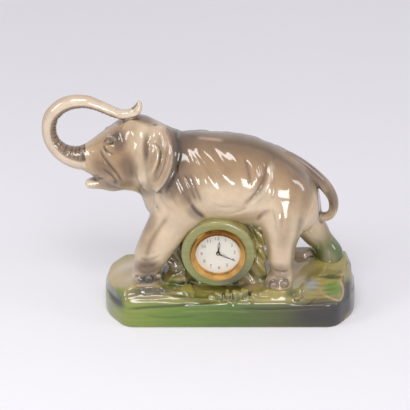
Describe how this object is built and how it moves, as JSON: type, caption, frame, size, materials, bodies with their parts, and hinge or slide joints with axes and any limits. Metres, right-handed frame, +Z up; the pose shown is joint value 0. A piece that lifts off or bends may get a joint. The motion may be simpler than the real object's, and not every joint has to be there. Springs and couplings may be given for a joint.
{
  "type": "table clock",
  "caption": "Glazed ceramic elephant with a raised, curled trunk on a rocky base, holding a round wind-up clock in a drum under its belly.",
  "frame": {"origin": "middle of the base's underside, on the rim that it stands on", "axes": "+Z up, the dial faces -Y, the elephant walks towards -X"},
  "size_m": [0.343, 0.115, 0.2568],
  "materials": {
    "glazed_clay": "glossy airbrushed majolica glaze: grey-brown on the back, cream on the belly, sage green on legs and base",
    "brass_bezel": "polished, lacquered",
    "clear_glass": "clear, domed",
    "brass_sight_ring": "satin",
    "white_dial": "matt white enamel",
    "tin_case": "tinned sheet",
    "dark_hands": "blackened",
    "turned_brass": "satin",
    "spring_steel": "blued",
    "plated_steel": "nickel plated",
    "polished_steel": "polished"
  },
  "bodies": {
    "housing": {"back_cover": "plated_steel", "back_plate": "turned_brass", "bezel": "brass_bezel", "case_drum": "tin_case", "ceramic_base": "glazed_clay", "ceramic_body": "glazed_clay", "ceramic_drum": "glazed_clay", "ceramic_legs": "glazed_clay", "ceramic_tail": "glazed_clay", "ceramic_trunk": "glazed_clay", "clamp_ring": "tin_case", "clamp_screws": "polished_steel", "click_screw": "polished_steel", "cover_posts": "plated_steel", "cover_screws": "polished_steel", "dial": "white_dial", "front_balance_screw": "polished_steel", "front_plate": "turned_brass", "glass": "clear_glass", "hairspring": "spring_steel", "hairspring_stud": "polished_steel", "minute_wheel_post": "polished_steel", "pillar_nuts": "plated_steel", "pillars": "turned_brass", "rear_balance_screw": "polished_steel", "sight_ring": "brass_sight_ring"},
    "minute_work": {"centre_arbor": "polished_steel", "centre_collet": "turned_brass", "centre_wheel": "turned_brass", "cannon_pinion": "turned_brass", "minute_hand": "dark_hands", "hand_nut": "turned_brass", "setting_knob": "plated_steel"},
    "hour_work": {"hour_wheel": "turned_brass", "hour_hand": "dark_hands"},
    "minute_wheel_body": {"minute_wheel": "turned_brass"},
    "third_wheel_body": {"third_arbor": "polished_steel", "third_collet": "turned_brass", "third_wheel": "turned_brass"},
    "fourth_wheel_body": {"fourth_arbor": "polished_steel", "fourth_collet": "turned_brass", "fourth_wheel": "turned_brass"},
    "escape_body": {"escape_arbor": "polished_steel", "escape_wheel": "turned_brass"},
    "barrel_body": {"barrel": "turned_brass", "barrel_cover": "turned_brass", "mainspring": "spring_steel"},
    "winding_work": {"barrel_arbor": "polished_steel", "ratchet_wheel": "polished_steel", "winding_key": "plated_steel"},
    "click_body": {"click": "polished_steel"},
    "lever_body": {"pallet_arbor": "polished_steel", "pallet_lever": "turned_brass"},
    "balance_body": {"balance_wheel": "turned_brass", "balance_staff": "polished_steel", "balance_roller": "polished_steel", "hairspring_collet": "turned_brass"},
    "regulator_body": {"regulator": "plated_steel"}
  },
  "joints": [
    {"name": "minute_turn", "type": "hinge", "parent": "housing", "child": "minute_work", "pos_m": [-0.0136, -0.025, 0.0836], "axis": [0, 1, 0], "continuous": true},
    {"name": "hour_turn", "type": "hinge", "parent": "housing", "child": "hour_work", "pos_m": [-0.0136, -0.038, 0.0836], "axis": [0, 1, 0], "continuous": true},
    {"name": "minute_wheel_turn", "type": "hinge", "parent": "housing", "child": "minute_wheel_body", "pos_m": [-0.01565, -0.036, 0.07796], "axis": [0, 1, 0], "continuous": true},
    {"name": "third_wheel_turn", "type": "hinge", "parent": "housing", "child": "third_wheel_body", "pos_m": [-0.01572, -0.027, 0.09565], "axis": [0, 1, 0], "continuous": true},
    {"name": "fourth_wheel_turn", "type": "hinge", "parent": "housing", "child": "fourth_wheel_body", "pos_m": [-0.00522, -0.027, 0.09284], "axis": [0, 1, 0], "continuous": true},
    {"name": "escape_wheel_turn", "type": "hinge", "parent": "housing", "child": "escape_body", "pos_m": [-0.00021, -0.027, 0.08417], "axis": [0, 1, 0], "continuous": true},
    {"name": "barrel_turn", "type": "hinge", "parent": "housing", "child": "barrel_body", "pos_m": [-0.02392, -0.029, 0.07637], "axis": [0, 1, 0], "continuous": true},
    {"name": "winding_turn", "type": "hinge", "parent": "housing", "child": "winding_work", "pos_m": [-0.02392, -0.01, 0.07637], "axis": [0, 1, 0], "range_deg": [0, 1980], "deforming": ["mainspring"]},
    {"name": "click_lift", "type": "hinge", "parent": "housing", "child": "click_body", "pos_m": [-0.02472, -0.018, 0.08393], "axis": [0, 1, 0], "range_deg": [-10, 0]},
    {"name": "lever_swing", "type": "hinge", "parent": "housing", "child": "lever_body", "pos_m": [0.00119, -0.028, 0.07895], "axis": [0, 1, 0], "range_deg": [-3, 3]},
    {"name": "balance_swing", "type": "hinge", "parent": "housing", "child": "balance_body", "pos_m": [-0.00248, -0.026, 0.07207], "axis": [0, 1, 0], "range_deg": [-220, 220], "deforming": ["hairspring"]},
    {"name": "regulator_turn", "type": "hinge", "parent": "housing", "child": "regulator_body", "pos_m": [-0.00248, -0.018, 0.07207], "axis": [0, 1, 0], "range_deg": [-20, 20]}
  ],
  "couplings": [
    {"joint": "hour_turn", "follows": "minute_turn", "ratio": 0.083333},
    {"joint": "minute_wheel_turn", "follows": "minute_turn", "ratio": -0.33333},
    {"joint": "third_wheel_turn", "follows": "minute_turn", "ratio": -8},
    {"joint": "fourth_wheel_turn", "follows": "minute_turn", "ratio": 60},
    {"joint": "escape_wheel_turn", "follows": "minute_turn", "ratio": -600},
    {"joint": "barrel_turn", "follows": "minute_turn", "ratio": -0.16667}
  ]
}
